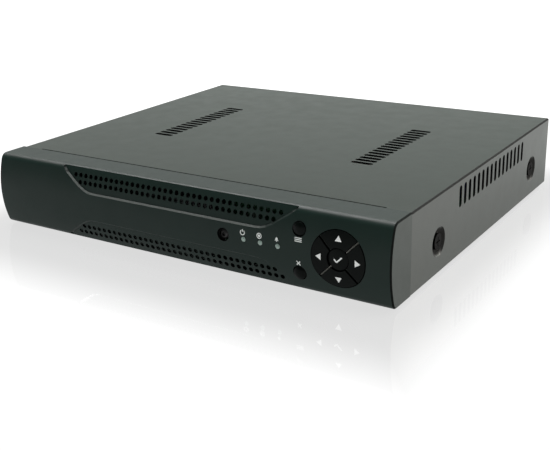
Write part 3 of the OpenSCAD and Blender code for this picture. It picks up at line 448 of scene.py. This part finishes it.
def stroke(points, width, step=0.7):
    """A line of short bars through points, so that it follows a domed surface."""
    shapes = []
    for (x0, z0), (x1, z1) in zip(points, points[1:]):
        length = math.hypot(x1 - x0, z1 - z0)
        count = max(1, round(length / step))
        turn = math.degrees(math.atan2(z1 - z0, x1 - x0))
        for i in range(count):
            along = (i + 0.5) / count
            shapes += bar(x0 + (x1 - x0) * along, z0 + (z1 - z0) * along, length / count, width, turn)
    return shapes


ARROW = [[(-2.05, -1.6), (2.05, -1.6), (0, 1.75)]]
TICK = stroke([(-2.4, 0.1), (-0.7, -1.5), (2.5, 1.7)], 0.85)
BELL_BODY = [(-1.3, -0.75), (1.3, -0.75), (0.85, -0.2), (0.75, 0.6), (0.4, 1.05), (-0.4, 1.05),
             (-0.75, 0.6), (-0.85, -0.2)]
LAMP_MARKS = {
    "power": arc(1.15, 1.7, 125, 415) + bar(0, 1.2, 0.55, 1.5),
    "record": disc(0.8) + arc(1.25, 1.75, 0, 360),
    "alarm": [BELL_BODY] + disc(0.28, -1.08) + disc(0.22, 1.2),
}
LIST = [line for cz in (1, 0, -1) for line in bar(0, cz, 4.6, 0.55)]
CROSS = bar(0, 0, 3.3, 0.6, 45) + bar(0, 0, 3.3, 0.6, -45)
ARROW_AT = 12.2             # from the pad's middle
LAMP_MARK_AT = (-0.6, 4.7)  # across from each lamp, and up from Z_MID
MENU_MARK_DZ = 7.1          # above Z_MID
ESCAPE_MARK_DZ = -7.0       # below it
INK_FRONT = -0.06           # the ink's faces, from the surface it is printed on
INK_BACK = 0.04

print_ink = finish("print_ink", (0.85, 0.89, 0.86), 0.6, mottle=0.04, patch=2 * MM, bump=0.05, painted_shade=0.0)
key_ink = finish("key_ink", (0.95, 0.97, 0.95), 0.5, mottle=0.03, patch=2 * MM, bump=0.05, painted_shade=0.0)


def mark(name, shapes, cx, cz, surface, body, ink):
    """A printed mark: closed plates of ink that stand just proud of a surface and reach a little under it."""
    mesh = bpy.data.meshes.new(name)
    shell = bmesh.new()
    for shape in moved(shapes, cx, cz):
        front, back = ([shell.verts.new((x * MM, (surface(x, z) + lift) * MM, z * MM)) for x, z in shape]
                       for lift in (INK_FRONT, INK_BACK))
        shell.faces.new(front)
        shell.faces.new(back[::-1])
        for i in range(len(shape)):
            shell.faces.new((front[i - 1], front[i], back[i], back[i - 1]))
    bmesh.ops.recalc_face_normals(shell, faces=shell.faces)
    shell.to_mesh(mesh)
    shell.free()
    mesh.materials.append(ink)
    piece = bpy.data.objects.new(name, mesh)
    bpy.context.scene.collection.objects.link(piece)
    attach(piece, body)


for side, angle in (("up", 0), ("left", 90), ("down", 180), ("right", 270)):
    dx, dz = on_circle(ARROW_AT, angle + 90)
    mark("mark_" + side, turned(ARROW, angle), PAD_X + dx, Z_MID + dz, pad_y, side + "_key", key_ink)
mark("mark_enter", TICK, PAD_X, Z_MID, enter_y, "enter_key", key_ink)
for name, shapes in LAMP_MARKS.items():
    mark("mark_" + name, shapes, LAMP_X[name] + LAMP_MARK_AT[0], Z_MID + LAMP_MARK_AT[1], face_y, "case",
         print_ink)
mark("mark_menu", LIST, SMALL_KEY_X, Z_MID + MENU_MARK_DZ, face_y, "case", print_ink)
mark("mark_escape", CROSS, SMALL_KEY_X, Z_MID + ESCAPE_MARK_DZ, face_y, "case", print_ink)


# ---------------------------------------------------------------- stage, light and camera

FLOOR_HALF = 12.0                 # metres
FLOOR_GLOW = (0.69, 0.98)         # in the painted shadow round the object, and away from it
PAINTED_SHADOW_X = (0.158, 0.208)           # where the floor's painted shadow starts and ends to brighten, either way from the middle
PAINTED_SHADOW_FRONT_Y = (-0.164, -0.228)
PAINTED_SHADOW_BACK_Y = (0.14, 0.20)

SKY_COLOUR = (0.95, 1, 0.965, 1)
SKY_LEVEL = (0.14, 1.42)          # elsewhere, and on the backdrop
BACKDROP_TOP = (0.17, 0.29)       # directions where the backdrop fades: upwards,
BACKDROP_FRONT = (-0.1, 0.5)      # towards the front
BACKDROP_LEFT = (-0.72, -0.56)    # and to the far left,
BACKDROP_LEFT_SHARE = 0.72        # down to this

AREA_LIGHTS = (  # name, place, target, size in metres, watts, colour
    ("top_softbox", (0.15, 0.75, 2.1), (0, 0, 0), (2.6, 2.0), 104, (1, 1, 1)),
    ("left_softbox", (-1.17, 0.35, 1.83), (0, -0.1, 0.03), (1.1, 1.1), 44, (1, 1, 1)),
    ("right_softbox", (1.3, 0.7, 0.45), (0.15, 0, 0.03), (1.0, 0.8), 30, (1, 0.93, 0.87)),
)

CAMERA_AT = (0.3445, -0.5474, 0.2185)
AZIMUTH, ELEVATION, ROLL = (math.radians(angle) for angle in (34.34, 19.21, -1.98))
LENS = 60.31                      # millimetres, for a sensor 36 mm wide
LENS_SHIFT = (0.0359, -0.0249)


def make_floor():
    """A glossy white floor that glows, less round the object, where a shadow is painted."""
    mesh = bpy.data.meshes.new("floor")
    corners = [(x * FLOOR_HALF, y * FLOOR_HALF, 0) for x, y in ((-1, -1), (1, -1), (1, 1), (-1, 1))]
    mesh.from_pydata(corners, [], [(0, 1, 2, 3)])
    floor = bpy.data.objects.new("floor", mesh)
    bpy.context.scene.collection.objects.link(floor)
    material, tree, shader = new_material("floor_white")
    for key, value in (("Base Color", (0.03, 0.03, 0.03, 1)), ("Roughness", 0.05), ("IOR", 2.2),
                       ("Emission Color", (1, 1, 1, 1))):
        shader.inputs[key].default_value = value
    place = place_of(tree)
    # painted shadow: 0 close round the object, rising to 1 away from it
    out_of_painted_shadow = math_of(tree, "MAXIMUM", smooth(tree, size_of(tree, place["X"]), *PAINTED_SHADOW_X),
                    math_of(tree, "MAXIMUM", smooth(tree, place["Y"], *PAINTED_SHADOW_FRONT_Y),
                            smooth(tree, place["Y"], *PAINTED_SHADOW_BACK_Y)))
    tree.links.new(spread(tree, out_of_painted_shadow, *FLOOR_GLOW, 0.0, 1.0), shader.inputs["Emission Strength"])
    mesh.materials.append(material)


def make_world():
    """A studio dome: a bright low backdrop behind the object, and dim elsewhere."""
    world = bpy.data.worlds.new("studio")
    bpy.context.scene.world = world
    world.use_nodes = True
    tree = world.node_tree
    sky = tree.nodes["Background"]
    sky.inputs["Color"].default_value = SKY_COLOUR
    towards = split(tree, "TexCoord", "Generated")
    backdrop = product(tree, spread(tree, towards["Z"], 1.0, 0.0, *BACKDROP_TOP),
                       spread(tree, towards["Y"], 0.0, 1.0, *BACKDROP_FRONT),
                       spread(tree, towards["X"], BACKDROP_LEFT_SHARE, 1.0, *BACKDROP_LEFT))
    tree.links.new(spread(tree, backdrop, *SKY_LEVEL, 0.0, 1.0), sky.inputs["Strength"])


def area_light(name, place, target, size, power, colour):
    data = bpy.data.lights.new(name, "AREA")
    data.shape = "RECTANGLE"
    data.size, data.size_y = size
    data.energy = power
    data.color = colour
    light = bpy.data.objects.new(name, data)
    light.location = place
    light.rotation_euler = (Vector(target) - Vector(place)).to_track_quat("-Z", "Y").to_euler()
    bpy.context.scene.collection.objects.link(light)


def make_camera():
    """Camera to the right of and above the front, rolled slightly as the view is."""
    back = Vector((math.sin(AZIMUTH) * math.cos(ELEVATION), -math.cos(AZIMUTH) * math.cos(ELEVATION),
                   math.sin(ELEVATION)))
    right = Vector((math.cos(AZIMUTH), math.sin(AZIMUTH), 0))
    up = back.cross(right)
    rolled_right = math.cos(ROLL) * right + math.sin(ROLL) * up
    rolled_up = -math.sin(ROLL) * right + math.cos(ROLL) * up
    data = bpy.data.cameras.new("camera")
    data.sensor_width = 36
    data.lens = LENS
    data.shift_x, data.shift_y = LENS_SHIFT
    camera = bpy.data.objects.new("camera", data)
    rows = Matrix((rolled_right, rolled_up, back)).transposed().to_4x4()
    camera.matrix_world = Matrix.Translation(CAMERA_AT) @ rows
    bpy.context.scene.collection.objects.link(camera)
    bpy.context.scene.camera = camera


make_floor()
make_world()
for light in AREA_LIGHTS:
    area_light(*light)
make_camera()
bpy.context.scene.view_settings.view_transform = "Standard"
